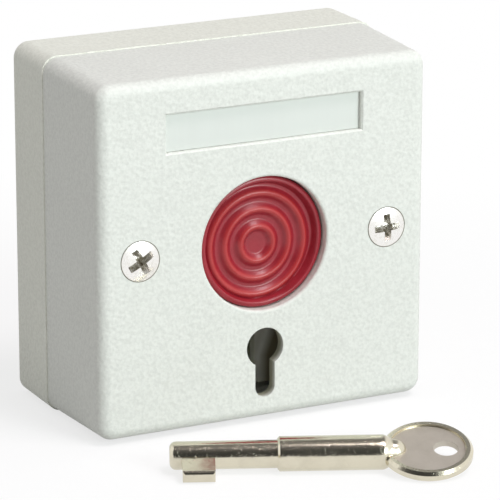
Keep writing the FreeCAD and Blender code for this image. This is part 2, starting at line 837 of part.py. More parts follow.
def open_contact(side):
    """Strip joined by the bridge when the button is pressed: a flat hook with its terminal at the end."""
    pad_in = contact_x - strip_width / 2
    terminal_x = terminal_xs[-1]
    out_x = terminal_x + strip_width / 2
    in_x = terminal_x - strip_width / 2
    low_z = axis_z - bridge_width / 2
    high_z = axis_z + bridge_width / 2
    top_z = terminal_z + clamp_width / 2
    corner = strip_width / 2
    diagonal = corner * (1 - math.sqrt(0.5))
    outline = chain(
        V(pad_in, base_back_y, low_z),
        [
            V(out_x - corner, base_back_y, low_z),
            (V(out_x - diagonal, base_back_y, low_z + diagonal), V(out_x, base_back_y, low_z + corner)),
            V(out_x, base_back_y, top_z),
            V(in_x, base_back_y, top_z),
            V(in_x, base_back_y, high_z),
            V(pad_in, base_back_y, high_z),
            V(pad_in, base_back_y, low_z),
        ],
    )
    strip = Part.Face(Part.Wire(outline)).extrude(V(0, strip_wall, 0))
    strip = strip.cut(strip_hole(terminal_x))
    if side < 0:
        strip = strip.mirror(V(0, 0, 0), V(1, 0, 0))
    return strip


def fixed_tips():
    tips = []
    for x in (-contact_x, contact_x):
        tips.append(rod(tip_radius, closed_seat_y + strip_wall, closed_tip_y, x, axis_z))
        tips.append(rod(tip_radius, open_tip_y, base_back_y, x, axis_z))
    return Part.makeCompound(tips)


def wire_clamps():
    clamps = []
    half = clamp_width / 2
    for x in terminal_xs:
        plate = block(x - half, x + half, strip_back_y, clamp_back_y, terminal_z - half, terminal_z + half)
        hole = rod(terminal_screw_radius + screw_clearance, strip_back_y, clamp_back_y, x, terminal_z)
        clamps.append(plate.cut(hole))
    return Part.makeCompound(clamps)


def terminal_screws():
    screws = []
    for x in terminal_xs:
        bite = terminal_bite + clamp_wall
        screws.append(pan_screw(terminal_screw_radius, x, terminal_z, clamp_back_y, bite))
    return Part.makeCompound(screws)


def key_rest():
    """Roll, tilt and height at which the key lies on its collar, its bit and the edge of its bow."""
    bit_middle = bit_start + bit_length / 2
    bow_middle = key_length - bow_radius

    def low_bit(roll):
        return bit_reach * math.sin(roll) + bit_wall / 2 * math.cos(roll)

    def low_bow(roll):
        return bow_radius * math.sin(roll) + bow_rim_wall / 2 * math.cos(roll)

    def slope(roll):
        return (low_bow(roll) - low_bit(roll)) / (bow_middle - bit_middle)

    low = 0.0
    high = math.pi / 3
    for halving in range(50):
        roll = (low + high) / 2
        axis_at_collar = low_bit(roll) + slope(roll) * (collar_start + collar_bevel - bit_middle)
        if axis_at_collar < collar_radius:
            low = roll
        else:
            high = roll
    height = low_bit(roll) - slope(roll) * bit_middle
    return math.degrees(roll), math.degrees(math.atan(slope(roll))), height


def key_section():
    """Shank, collar and neck turned about the key's axis, which lies along +Y from the tip."""
    neck_end = collar_end + neck_length
    neck_arc = neck_radius * math.sqrt(0.5)
    tip_arc = shank_round * (1 - math.sqrt(0.5))
    return turned(
        V(0, 0, 0),
        [
            V(shank_radius - shank_round, 0, 0),
            (V(shank_radius - tip_arc, tip_arc, 0), V(shank_radius, shank_round, 0)),
            V(shank_radius, collar_start, 0),
            V(collar_radius - collar_bevel, collar_start, 0),
            V(collar_radius, collar_start + collar_bevel, 0),
            V(collar_radius, collar_end - collar_bevel, 0),
            V(collar_radius - collar_bevel, collar_end, 0),
            V(neck_radius, collar_end + collar_bevel, 0),
            V(neck_radius, neck_end, 0),
            (V(neck_arc, neck_end + neck_arc, 0), V(0, neck_end + neck_radius, 0)),
        ],
    )


def reset_key():
    """One casting: turned shank, bit and ringed bow, laid down where it rests by itself."""
    bow_y = key_length - bow_radius
    bow = Part.makeCylinder(bow_radius, bow_rim_wall, V(0, bow_y, -bow_rim_wall / 2))
    bow = bow.makeChamfer(bow_bevel, [e for e in bow.Edges if isinstance(e.Curve, Part.Circle)])
    dish_depth = (bow_rim_wall - bow_web_wall) / 2
    dishes = []
    for low_z in (-bow_rim_wall / 2, bow_web_wall / 2):
        dishes.append(Part.makeCylinder(bow_radius - bow_rim, dish_depth, V(0, bow_y, low_z)))
    bow = bow.cut(dishes)
    bit = Part.makeBox(bit_reach, bit_length, bit_wall, V(0, bit_start, -bit_wall / 2))
    rounded = [e for e in bit.Edges if e.CenterOfMass.x > bit_reach / 2]
    bit = bit.makeFillet(bit_round, rounded)
    key = joined([key_section(), bow, bit])
    ring_hole = Part.makeCylinder(
        bow_hole_radius, bow_rim_wall, V(0, bow_y + bow_hole_offset, -bow_rim_wall / 2)
    )
    key = key.cut(ring_hole)
    roll, tilt, height = key_rest()
    key.rotate(V(0, 0, 0), V(0, 1, 0), roll)
    key.rotate(V(0, 0, 0), V(1, 0, 0), tilt)
    key.rotate(V(0, 0, 0), V(0, 0, 1), key_yaw - 90)
    key.translate(V(key_tip_x, key_tip_y, table_z + height))
    return key


def write(name, shape):
    solids = shape.Solids
    valid = all(s.isValid() for s in solids)
    volume = sum(s.Volume for s in solids)
    print(f"{name}: {len(solids)} solid(s), valid {valid}, {volume:.1f} mm3")
    final = solids[0] if len(solids) == 1 else Part.makeCompound(solids)
    final.exportStep(f"parts/{name}.step")


os.makedirs("parts", exist_ok=True)
write("front_cover", front_cover())
write("rear_box", rear_box())
write("label_plate", label_plate())
write("cover_screws", cover_screws())
write("screw_inserts", screw_inserts())
write("push_button", push_button())
write("plunger", plunger())
write("button_spring", button_spring())
write("contact_bridge", contact_bridge())
write("bridge_tips", bridge_tips())
write("bridge_spring", bridge_spring())
write("bridge_clip", bridge_clip())
write("latch_slide", latch_slide())
write("latch_spring", latch_spring())
write("mechanism_frame", mechanism_frame())
write("frame_screws", frame_screws())
write("contact_base", contact_base())
write("base_screws", base_screws())
for side, word in ((-1, "left"), (1, "right")):
    write(f"closed_contact_{word}", closed_contact(side))
    write(f"open_contact_{word}", open_contact(side))
write("fixed_tips", fixed_tips())
write("wire_clamps", wire_clamps())
write("terminal_screws", terminal_screws())
write("reset_key", reset_key())
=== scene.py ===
# %% [markdown]
# # A panic button and its reset key
# This lesson dresses a small alarm call point: a square box of pale moulded plastic, a red push
# button with raised rings, a label strip, two bright screws, and the nickel key that lies in front.
# The packed CAD model is the frame. It gives every solid its true size and place in metres, with
# the wall on the plane y = 0, the front facing -Y, and Z up. What is left for Blender is the look:
# the grain of the plastic, the soft rings of the red cap, the shine of the metal and the light.

# %% Load the packed model
import math

import bmesh
import bpy
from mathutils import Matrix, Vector


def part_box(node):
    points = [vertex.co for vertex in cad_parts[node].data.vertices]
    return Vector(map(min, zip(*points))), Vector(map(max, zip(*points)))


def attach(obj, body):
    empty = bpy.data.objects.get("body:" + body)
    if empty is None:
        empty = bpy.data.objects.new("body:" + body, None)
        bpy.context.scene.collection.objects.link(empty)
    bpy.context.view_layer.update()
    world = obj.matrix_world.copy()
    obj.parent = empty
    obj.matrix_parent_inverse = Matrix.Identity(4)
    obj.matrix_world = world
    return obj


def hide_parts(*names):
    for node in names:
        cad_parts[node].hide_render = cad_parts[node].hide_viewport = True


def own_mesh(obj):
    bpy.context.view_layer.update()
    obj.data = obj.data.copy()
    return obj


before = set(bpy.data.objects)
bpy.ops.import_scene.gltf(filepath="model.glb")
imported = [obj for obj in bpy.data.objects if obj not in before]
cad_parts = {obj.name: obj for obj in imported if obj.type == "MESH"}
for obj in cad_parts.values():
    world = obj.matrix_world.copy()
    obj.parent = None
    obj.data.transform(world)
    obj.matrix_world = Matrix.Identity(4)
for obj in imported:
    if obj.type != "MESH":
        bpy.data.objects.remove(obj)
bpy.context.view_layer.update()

# %% [markdown]
# ## Lengths in millimetres
# The real product is drawn in millimetres and Blender works in metres. One constant keeps both
# readable: `3.5 * mm` is three and a half millimetres. The places of the parts come from the frame,
# so nothing has to be typed twice. `middle` gives the centre of a node's box.

# %% Units and places
mm = 0.001


def middle(node):
    """Centre of a CAD node's box."""
    low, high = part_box(node)
    return (low + high) / 2


face_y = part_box("front_cover")[0].y
table_z = min(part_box(name)[0].z for name in ("rear_box", "reset_key"))
button_axis = middle("push_button")
groove_depth = 1.5 * mm  # from the top of the CAD cap's band to the floor of its grooves
button_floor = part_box("push_button")[0].y + groove_depth
print("face at y = %.2f mm, table at z = %.2f mm" % (face_y / mm, table_z / mm))

# %% [markdown]
# ## Shader sums that read like sums
# A material is a graph of nodes, and maths written as nodes is hard to read. `Value` wraps one
# output socket and gives it the usual operators, so `1 - dirt * 0.3` builds the two Math nodes by
# itself. The reflected forms, such as `__rsub__`, are what makes the number on the left work.

# %% Value
class Value:
    """An output socket with operators that add Math nodes."""

    def __init__(self, finish, socket):
        self.finish = finish
        self.socket = socket

    def _math(self, operation, first, second):
        return self.finish.node("ShaderNodeMath", {"operation": operation}, {0: first, 1: second})

    def __add__(self, other):
        return self._math("ADD", self, other)

    __radd__ = __add__

    def __sub__(self, other):
        return self._math("SUBTRACT", self, other)

    def __rsub__(self, other):
        return self._math("SUBTRACT", other, self)

    def __mul__(self, other):
        return self._math("MULTIPLY", self, other)

    __rmul__ = __mul__

    def __truediv__(self, other):
        return self._math("DIVIDE", self, other)

    def __pow__(self, other):
        return self._math("POWER", self, other)

    def __abs__(self):
        return self.finish.node("ShaderNodeMath", {"operation": "ABSOLUTE"}, {0: self})


print("a Value has", sum(name.startswith("__r") for name in vars(Value)), "reflected operators")

# %% [markdown]
# ## A finish in the making
# `Finish` holds the node tree of one material, or of the world. Its `node` method adds any node. It
# makes the settings first, because some of them change which sockets the node has, and then fills
# the sockets with numbers, colours or links. `close` joins the last shader to the output.

# %% Finish
class Finish:
    """A node tree that is being built, for a material or for the world."""

    def __init__(self, owner, output):
        self.owner = owner
        owner.use_nodes = True
        self.tree = owner.node_tree
        self.tree.nodes.clear()
        self.output = self.tree.nodes.new(output)

    def node(self, kind, settings=None, sockets=None, out=0):
        """Add a node; `sockets` maps an input's name or number to a number, a colour or a Value."""
        new = self.tree.nodes.new(kind)
        for name, setting in (settings or {}).items():
            if name == "stops":
                self.set_stops(new.color_ramp, setting)
            else:
                setattr(new, name, setting)
        for name, given in (sockets or {}).items():
            if isinstance(given, Value):
                self.tree.links.new(given.socket, new.inputs[name])
            else:
                new.inputs[name].default_value = given
        return Value(self, new.outputs[out])

    @staticmethod
    def set_stops(ramp, stops):
        """Give a colour ramp its stops, each written as (position, grey)."""
        while len(ramp.elements) > 1:
            ramp.elements.remove(ramp.elements[-1])
        for number, (position, grey) in enumerate(stops):
            stop = ramp.elements[0] if number == 0 else ramp.elements.new(position)
            stop.position = position
            stop.color = (grey, grey, grey, 1)

    def mix(self, factor, first, second):
        """Mix two colours; a Math node would turn them grey."""
        sockets = {0: factor, 6: first, 7: second}
        return self.node("ShaderNodeMix", {"data_type": "RGBA"}, sockets, out=2)

    def close(self, shader):
        """Join the last shader to the output, and give back what the finish is for."""
        self.tree.links.new(shader.socket, self.output.inputs["Surface"])
        return self.owner


print("shader helpers are ready")

# %% [markdown]
# ## Patterns that every finish shares
# Three small helpers make most of the detail. `speckle` is cloud noise whose size is written in
# millimetres, measured on the object itself, so it stays put from every side. `steps` turns a noise
# into a mask with a soft edge. `relief` makes a Bump node whose height is also in millimetres.
# Object coordinates are used everywhere, because every CAD node has its origin at the frame's.

# %% Places and distances
def place_of(finish):
    """Position on the object, in metres, before any joint moves it."""
    return finish.node("ShaderNodeTexCoord", out=3)


def along(finish, place, axis):
    """One of the coordinates of a place: 0 for X, 1 for Y, 2 for Z."""
    return finish.node("ShaderNodeSeparateXYZ", {}, {0: place}, out=axis)


def from_axis(across, up):
    """Distance from an axis, out of two distances square to it and to each other."""
    return (across * across + up * up) ** 0.5


def vector_maths(finish, operation, first, second=(0, 0, 0), out=0):
    """Vector maths; `out=1` for the operations that give a number."""
    settings = {"operation": operation}
    return finish.node("ShaderNodeVectorMath", settings, {0: first, 1: second}, out=out)


print("places and distances are ready")

# %% [markdown]
# The patterns come next. `speckle` and `pebbles` read the place on the object, so a piece that moves
# with a joint takes its pattern along. `surface` makes the shader itself: what varies over the
# surface comes in through Base Color, Roughness, Metallic and Normal, and what doesn't is set on the
# shader as a plain number.

# %% Speckle, mask and relief
def speckle(finish, size, detail=2.0, rough=0.5, stretch=(1, 1, 1)):
    """Cloud noise between 0 and 1 whose blobs are about `size` metres wide."""
    place = finish.node("ShaderNodeMapping", {}, {"Vector": place_of(finish), "Scale": stretch})
    sockets = {"Vector": place, "Scale": 1 / size, "Detail": detail, "Roughness": rough}
    return finish.node("ShaderNodeTexNoise", {}, sockets)


def pebbles(finish, size):
    """Rounded cells about `size` metres wide: 0 at a cell's heart, more towards its edge."""
    sockets = {"Vector": place_of(finish), "Scale": 1 / size, "Smoothness": 0.6}
    return finish.node("ShaderNodeTexVoronoi", {"feature": "SMOOTH_F1"}, sockets)


def steps(finish, value, low, high, first=0.0, last=1.0):
    """Straight ramp from `first` at `low` to `last` at `high`, held at both ends."""
    sockets = {"Value": value, "From Min": low, "From Max": high, "To Min": first, "To Max": last}
    return finish.node("ShaderNodeMapRange", {"clamp": True}, sockets)


def relief(finish, height, depth, strength):
    """Bump whose full height range is `depth` metres."""
    sockets = {"Strength": strength, "Distance": depth, "Height": height}
    return finish.node("ShaderNodeBump", {}, sockets)


def plain(r, g, b):
    return (r, g, b, 1.0)


def surface(finish, **sockets):
    """Principled surface; an underscore in a socket's name stands for a space."""
    named = {name.replace("_", " "): given for name, given in sockets.items()}
    named["IOR"] = 1.5
    return finish.close(finish.node("ShaderNodeBsdfPrincipled", {}, named))


def new_finish(name):
    return Finish(bpy.data.materials.new(name), "ShaderNodeOutputMaterial")


print("pattern helpers are ready")

# %% [markdown]
# ## Painted shade in the keyhole and the screw seats
# The wall of the keyhole and the seats of the two screws are painted darker: painted shade, for the
# shadow deep in the keyhole and in the thin gap round each screw head. Both masks are computed: one
# is a small box round the keyhole that deepens away from the face, the other a distance from the
# screw's axis. Both end a few millimetres behind the face, so that the back of the box stays plain.

# %% Masks for the painted shade
keyhole_middle_z = -21.2 * mm
keyhole_side = 3.9 * mm
keyhole_end = 6.7 * mm
screw_head_radius = 3.58 * mm
screw_x = abs(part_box("cover_screws")[0].x + screw_head_radius)
seat_edge = 3.66 * mm
front_depth = 5 * mm


def from_screw(finish):
    """Distance from the nearer cover screw's axis."""
    place = place_of(finish)
    across = abs(along(finish, place, 0)) - screw_x
    up = along(finish, place, 2) - button_axis.z
    return from_axis(across, up)


def near_face(finish):
    """1 on the front few millimetres of the case, 0 behind them."""
    depth = along(finish, place_of(finish), 1) - face_y
    return steps(finish, depth, front_depth, front_depth + 1 * mm, 1.0, 0.0)


# Mask of the painted shade on the keyhole's wall.
def keyhole_shade_mask(finish):
    """Rises to 1 down the keyhole's wall, 0 on the rest of the case."""
    place = place_of(finish)
    aside = abs(along(finish, place, 0))
    off_middle = abs(along(finish, place, 2) - keyhole_middle_z)
    deep = steps(finish, along(finish, place, 1) - face_y, 0.1 * mm, 1.3 * mm)
    beside = steps(finish, aside, keyhole_side, keyhole_side + 0.3 * mm, 1.0, 0.0)
    high = steps(finish, off_middle, keyhole_end, keyhole_end + 0.4 * mm, 1.0, 0.0)
    return deep * beside * high


print("cover screws at x = %.2f mm on both sides" % (screw_x / mm))

# %% [markdown]
# ## The moulded case
# Both halves of the box are pale ABS. The tool that moulded them was spark eroded, which leaves a
# pebbled skin like fine leather. A real tool's skin is random with a size of a little over half a
# millimetre, so the relief is a cell pattern with noise in it, and a faint speckle in the colour
# stands for the pits that look darker. The box's colour is a little lighter and warmer than the
# cover's: painted light, for the brighter light on its top and on the back of its sides. The plain
# colour is mixed with painted shade through the masks: olive on the keyhole's wall, brown in the
# seats.

# %% Case plastic
# Painted shade colours: dark olive for the keyhole's wall, brown for the gap round the screw heads.
keyhole_shade_colour = plain(0.15, 0.13, 0.03)
seat_shadow_colour = plain(0.13, 0.11, 0.065)


def case_plastic(name, tone, shade):
    finish = new_finish(name)
    grain = pebbles(finish, 0.8 * mm) + 0.7 * speckle(finish, 0.55 * mm, 3.0)
    pits = steps(finish, speckle(finish, 0.6 * mm, 2.0, 0.6), 0.36, 0.62)
    cloud = steps(finish, speckle(finish, 22 * mm, 1.0), 0.35, 0.65)
    unshaded = finish.mix(pits * 0.85 + cloud * 0.15, shade, tone)
    front = near_face(finish)
    keyhole_shaded = finish.mix(keyhole_shade_mask(finish) * front * 0.68, unshaded, keyhole_shade_colour)
    # Painted shadow in the seat round each screw head.
    seat = steps(finish, from_screw(finish), seat_edge, seat_edge + 0.04 * mm, 0.9, 0.0)
    return surface(
        finish,
        Base_Color=finish.mix(seat * front, keyhole_shaded, seat_shadow_colour),
        Roughness=0.46 + 0.12 * pits,
        Normal=relief(finish, grain, 0.078 * mm, 0.8),
        Specular_IOR_Level=0.45,
    )


cover_plastic = case_plastic(
    "cover_plastic", plain(0.826, 0.839, 0.788), plain(0.733, 0.744, 0.697)
)
# Painted light: the box is a little lighter and warmer than the cover.
box_plastic = case_plastic(
    "box_plastic", plain(0.862, 0.873, 0.790), plain(0.765, 0.774, 0.692)
)
print("case finishes:", cover_plastic.name, box_plastic.name)

# %% [markdown]
# ## The label strip
# A blank strip of satin film lies in a shallow recess, ready for a room name. It is smoother and a
# little darker than the case, with faint draw lines along its height from the film's rolling. Its
# upper half is painted lighter than its lower half: painted light that offsets the shadow of the
# recess's upper wall.

# %% Label film
def label_film():
    finish = new_finish("label_film")
    lines = speckle(finish, 1.3 * mm, 2.0, 0.5, stretch=(1, 1, 0.05))
    low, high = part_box("label_plate")
    # Painted light: the film lightens towards its top edge.
    painted_top_light = steps(finish, along(finish, place_of(finish), 2), low.z, high.z)
    tone = steps(finish, lines * 0.25 + painted_top_light, 0.1, 1.15)
    return surface(
        finish,
        Base_Color=finish.mix(tone, plain(0.715, 0.742, 0.702), plain(0.800, 0.828, 0.785)),
        Roughness=steps(finish, lines, 0.3, 0.7, 0.36, 0.42),
        Normal=relief(finish, speckle(finish, 3 * mm), 0.01 * mm, 0.3),
    )


film = label_film()
print("label finish:", film.name)

# %% [markdown]
# ## Red cap plastic
# The cap is deep red and semi-gloss. Flat parts mirror the pale room and turn pinkish, while the
# slopes of the rings stay saturated. That comes from the gloss itself and needs no painted colour.
# The crests of the rings are painted a lighter, more orange red: painted light, which stands for the
# glow of thin translucent ridges. Their mask is the height over the floor of the grooves.

# %% Red plastic
crest_height = 0.8 * mm
rings_end = 9.9 * mm
pink_dust = plain(0.5, 0.16, 0.17)


def red_plastic():
    finish = new_finish("red_plastic")
    cloud = speckle(finish, 2.4 * mm, 3.0, 0.6)
    dust = steps(finish, speckle(finish, 0.22 * mm, 2.0), 0.5, 0.72)
    tone = steps(finish, cloud, 0.35, 0.65)
    deep_red = finish.mix(tone, plain(0.300, 0.010, 0.021), plain(0.345, 0.014, 0.028))
    place = place_of(finish)
    height = (button_floor - along(finish, place, 1)) / crest_height
    across = along(finish, place, 0) - button_axis.x
    up = along(finish, place, 2) - button_axis.z
    ringed = steps(finish, from_axis(across, up), rings_end, rings_end + 0.4 * mm, 1.0, 0.0)
    # Painted light: the crests turn a lighter, more orange red.
    crest = steps(finish, height, 0.5, 0.95) * ringed
    colour = finish.mix(crest, deep_red, plain(0.44, 0.024, 0.026))
    return surface(
        finish,
        Base_Color=finish.mix(dust * 0.1, colour, pink_dust),
        Roughness=0.28 + 0.1 * cloud,
        Normal=relief(finish, cloud + 0.4 * speckle(finish, 0.4 * mm), 0.02 * mm, 0.35),
        Specular_IOR_Level=0.6,
    )


cap_red = red_plastic()
print("cap finish:", cap_red.name)

# %% [markdown]
# ## Dull inner plastics
# Behind the face sit an olive latch plate, its olive carrier, a pale guide stem and a glass-filled
# terminal base. They share one recipe: a flat colour broken by flow marks, and a dull skin. The
# latch is the only one that the keyhole shows: a pale olive plastic, which the hole's shade darkens.
# A streak of painted light runs down its front, a painted pool of the light that falls through the
# keyhole. It leans to the right at the top, and the plate on both sides of it is painted in a
# browner
# shade, most to its right: painted shade from the hole's wall.

# %% Inner plastics
streak_x = 3.4 * mm
streak_bend_z, streak_top_z = -23.4 * mm, -18.0 * mm
streak_lean = 2.0 * mm
# Painted shade colour for the latch beside the streak of painted light.
latch_shade_colour = plain(0.30, 0.26, 0.17)


def painted_light_streak(finish):
    """1 down the streak of painted light, less to both sides of it, where painted shade browns the
    plate.
    """
    place = place_of(finish)
    height = along(finish, place, 2)
    lean = steps(finish, height, streak_bend_z, streak_top_z, 0.0, streak_lean)
    aside = along(finish, place, 0) - streak_x - lean
    right = steps(finish, aside, 0.1 * mm, 1.9 * mm, 1.0, 0.0)
    left = steps(finish, aside, -1.0 * mm, -0.2 * mm, 0.72, 1.0)
    return right * left


def inner_plastic(name, tone, shade, dull, flow, painted_light=None):
    finish = new_finish(name)
    marks = speckle(finish, flow, 3.0, 0.55, stretch=(1, 1, 0.4))
    fine = speckle(finish, 0.3 * mm, 2.0)
    colour = finish.mix(steps(finish, marks, 0.3, 0.7), shade, tone)
    if painted_light:
        colour = finish.mix(painted_light(finish), latch_shade_colour, colour)
    return surface(
        finish,
        Base_Color=colour,
        Roughness=dull - 0.12 + 0.24 * marks,
        Normal=relief(finish, fine + marks, 0.02 * mm, 0.5),
    )


latch_olive = inner_plastic(
    "latch_plastic", plain(0.96, 0.96, 0.90), plain(0.92, 0.92, 0.84), 0.5, 3 * mm, painted_light_streak
)
frame_olive = inner_plastic(
    "frame_plastic", plain(0.74, 0.74, 0.62), plain(0.66, 0.66, 0.54), 0.55, 4 * mm
)
stem_natural = inner_plastic(
    "guide_plastic", plain(0.78, 0.76, 0.68), plain(0.71, 0.69, 0.60), 0.4, 3 * mm
)
base_filled = inner_plastic(
    "base_plastic", plain(0.50, 0.47, 0.38), plain(0.40, 0.37, 0.29), 0.6, 1.2 * mm
)
print("inner plastics:", latch_olive.name, frame_olive.name, stem_natural.name, base_filled.name)

# %% [markdown]
# ## Plated and plain metals
# A plated or rolled metal is a mirror that is never quite flat: shallow waves are left in it, and
# handling leaves a haze. One recipe serves every metal inside the box, each with a colour, a haze
# and a size of wave of its own. The metal's colour goes into Base Color, because a metallic surface
# takes the tint of its reflection from there.

# %% Metals
plating_relief = 0.01 * mm


def metal(name, bright, dark, smooth, hazy, wave):
    finish = new_finish(name)
    waves = speckle(finish, wave, 2.0, 0.55)
    haze = steps(finish, speckle(finish, 3.5 * mm, 4.0, 0.62), 0.42, 0.68)
    specks = steps(finish, speckle(finish, 0.28 * mm, 2.0), 0.62, 0.74)
    return surface(
        finish,
        Base_Color=finish.mix(haze * 0.6 + specks * 0.4, bright, dark),
        Metallic=1.0,
        Roughness=steps(finish, haze + specks * 0.5, 0.0, 1.2, smooth, hazy),
        Normal=relief(finish, waves, plating_relief, 0.6),
    )


wire_steel = metal(
    "spring_wire", plain(0.58, 0.59, 0.61), plain(0.40, 0.40, 0.40), 0.25, 0.42, 0.6 * mm
)
zinc_steel = metal(
    "zinc_plate", plain(0.66, 0.68, 0.70), plain(0.52, 0.52, 0.50), 0.28, 0.46, 0.8 * mm
)
strip_brass = metal(
    "strip_brass", plain(0.78, 0.58, 0.26), plain(0.56, 0.36, 0.14), 0.24, 0.44, 1.4 * mm
)
insert_brass = metal(
    "insert_brass", plain(0.74, 0.56, 0.27), plain(0.52, 0.36, 0.16), 0.28, 0.40, 0.5 * mm
)
tip_silver = metal(
    "tip_silver", plain(0.86, 0.85, 0.82), plain(0.60, 0.57, 0.50), 0.22, 0.40, 0.5 * mm
)
metals = (wire_steel, zinc_steel, strip_brass, insert_brass, tip_silver)
print("metals:", [material.name for material in metals])

# %% [markdown]
# ## Cover screws
# The two raised heads are bright nickel and show the white room. The cross, in patches, and a thin
# ring round each head are painted a brown-grey shade: painted shade for the recess of the cross and
# the gap round the head, and without it the cross would vanish in the glare. The cross is the only
# part of a head that lies deeper than the face, so its depth is the mask.

# %% Screw nickel
cross_depth = 0.5 * mm
head_rim = 3.46 * mm
recess_shade_colour = plain(0.30, 0.265, 0.20)


def screw_metal():
    finish = new_finish("screw_nickel")
    place = place_of(finish)
    cross = steps(finish, along(finish, place, 1) - face_y, 0.0, cross_depth)
    rim = steps(finish, from_screw(finish), head_rim, head_rim + 0.1 * mm)
    patches = steps(finish, speckle(finish, 0.8 * mm, 3.0, 0.6), 0.46, 0.56)
    # Painted shade: the cross and the head's rim turn brown-grey, duller and less metallic.
    shade_mask = steps(finish, cross * patches + rim, 0.0, 1.0)
    scuff = steps(finish, speckle(finish, 0.5 * mm, 3.0, 0.6), 0.45, 0.7)
    bright = finish.mix(scuff, plain(0.92, 0.905, 0.875), plain(0.86, 0.84, 0.79))
    return surface(
        finish,
        Base_Color=finish.mix(shade_mask, bright, recess_shade_colour),
        Metallic=steps(finish, shade_mask, 0.0, 1.0, 1.0, 0.25),
        Roughness=steps(finish, shade_mask + scuff * 0.2, 0.0, 1.2, 0.2, 0.6),
        Normal=relief(finish, speckle(finish, 1.2 * mm), 0.02 * mm, 0.5),
    )


screw_nickel = screw_metal()
print("screw finish:", screw_nickel.name)

# %% [markdown]
# ## The key's nickel
# The key is a zinc casting under bright nickel. Its shank and collar were polished and are almost
# mirrors with a fine orange peel. The sunk web of its bow kept the casting's dull skin. The web is
# found by its distance from the bow's middle, measured in the key's own plane: that is Pythagoras,
# the whole distance less the part along the plane's normal. One material then serves the whole key.

# %% Key nickel
bow_middle = (14.045 * mm, -67.144 * mm, -29.128 * mm)
bow_normal = (-0.116122, -0.253328, 0.960386)
web_radius = 6.3 * mm
web_surface = 0.60 * mm


def bow_web(finish):
    """1 on the dull web inside the bow's rim, 0 on the polished parts."""
    offset = vector_maths(finish, "SUBTRACT", place_of(finish), bow_middle)
    rise = vector_maths(finish, "DOT_PRODUCT", offset, bow_normal, out=1)
    far = vector_maths(finish, "LENGTH", offset, out=1)
    flat = (far * far - rise * rise) ** 0.5
    inside = steps(finish, flat, web_radius, web_radius + 0.25 * mm, 1.0, 0.0)
    sunk = steps(finish, abs(rise), web_surface, web_surface + 0.08 * mm, 1.0, 0.0)
    return inside * sunk


def key_metal():
    finish = new_finish("key_nickel")
    web = bow_web(finish)
    waves = speckle(finish, 1.6 * mm, 2.0, 0.5)
    specks = steps(finish, speckle(finish, 0.4 * mm, 3.0, 0.7), 0.60, 0.72)
    haze = steps(finish, speckle(finish, 4 * mm, 4.0, 0.6), 0.42, 0.68)
    worn = haze * 0.5 + specks * 0.3
    polished = finish.mix(worn, plain(0.705, 0.66, 0.53), plain(0.60, 0.55, 0.44))
    dull = finish.mix(haze, plain(0.63, 0.585, 0.52), plain(0.58, 0.535, 0.47))
    return surface(
        finish,
        Base_Color=finish.mix(web, polished, dull),
        Metallic=1.0,
        Roughness=steps(finish, haze * 0.4 + specks + web * 4, 0.0, 4.0, 0.17, 0.60),
        Normal=relief(finish, waves + 0.35 * specks, 0.045 * mm, 0.65),
    )


key_nickel = key_metal()
print("key finish:", key_nickel.name)

# %% [markdown]
# ## Give every node its finish
# The CAD nodes carry the packer's plain materials. Each is replaced by name from one dictionary,
# and a node that is missing from it stops the script, so nothing keeps a plain finish by mistake.

# %% Assign finishes
finish_of = {
    "front_cover": cover_plastic,
    "rear_box": box_plastic,
    "label_plate": film,
    "cover_screws": screw_nickel,
    "screw_inserts": insert_brass,
    "push_button": cap_red,
    "plunger": stem_natural,
    "button_spring": wire_steel,
    "contact_bridge": strip_brass,
    "bridge_tips": tip_silver,
    "bridge_spring": wire_steel,
    "bridge_clip": wire_steel,
    "latch_slide": latch_olive,
    "latch_spring": wire_steel,
    "mechanism_frame": frame_olive,
    "frame_screws": zinc_steel,
    "contact_base": base_filled,
    "base_screws": zinc_steel,
    "closed_contact_left": strip_brass,
    "closed_contact_right": strip_brass,
    "open_contact_left": strip_brass,
    "open_contact_right": strip_brass,
    "fixed_tips": tip_silver,
    "wire_clamps": zinc_steel,
    "terminal_screws": zinc_steel,
    "reset_key": key_nickel,
}
for name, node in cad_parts.items():
    node.data.materials.clear()
    node.data.materials.append(finish_of[name])
print("finished nodes:", len(finish_of))

# %% [markdown]
# ## Skins over circles
# Three pieces are made in mesh code: the red cap, the key's shoulder and the coil springs. Each is a
# row of circles of points, one circle after the other, and the skin between two circles is a belt of
# quads. A circle may also be a single point, and then the belt closes there as a fan of triangles:
# its quads have one corner twice, and `dict.fromkeys` drops the second.

# %% Skin and circle
sharp_angle = math.radians(50)


def skinned(name, circles):
    """Object whose mesh runs through the circles and is closed at both ends."""
    work = bmesh.new()
    rows = [[work.verts.new(spot) for spot in spots] for spots in circles]
    turns = max(len(row) for row in rows)
    for here, there in zip(rows, rows[1:]):
        for turn in range(turns):
            corners = [here[turn % len(here)], here[(turn + 1) % len(here)]]
            corners += [there[(turn + 1) % len(there)], there[turn % len(there)]]
            work.faces.new(list(dict.fromkeys(corners)))
    for end in (rows[0], rows[-1]):
        if len(end) > 1:
            work.faces.new(end)
    bmesh.ops.recalc_face_normals(work, faces=work.faces)
    mesh = bpy.data.meshes.new(name)
    work.to_mesh(mesh)
    work.free()
    mesh.shade_smooth()
    mesh.set_sharp_from_angle(angle=sharp_angle)
    skin = bpy.data.objects.new(name, mesh)
    bpy.context.scene.collection.objects.link(skin)
    return skin


def circle(centre, radius, right, up, turns):
    """Points round `centre`, in the plane of the unit vectors `right` and `up`."""
    angles = [2 * math.pi * turn / turns for turn in range(turns if radius > 0 else 1)]
    return [centre + radius * (math.cos(a) * right + math.sin(a) * up) for a in angles]


print("mesh helpers are ready")

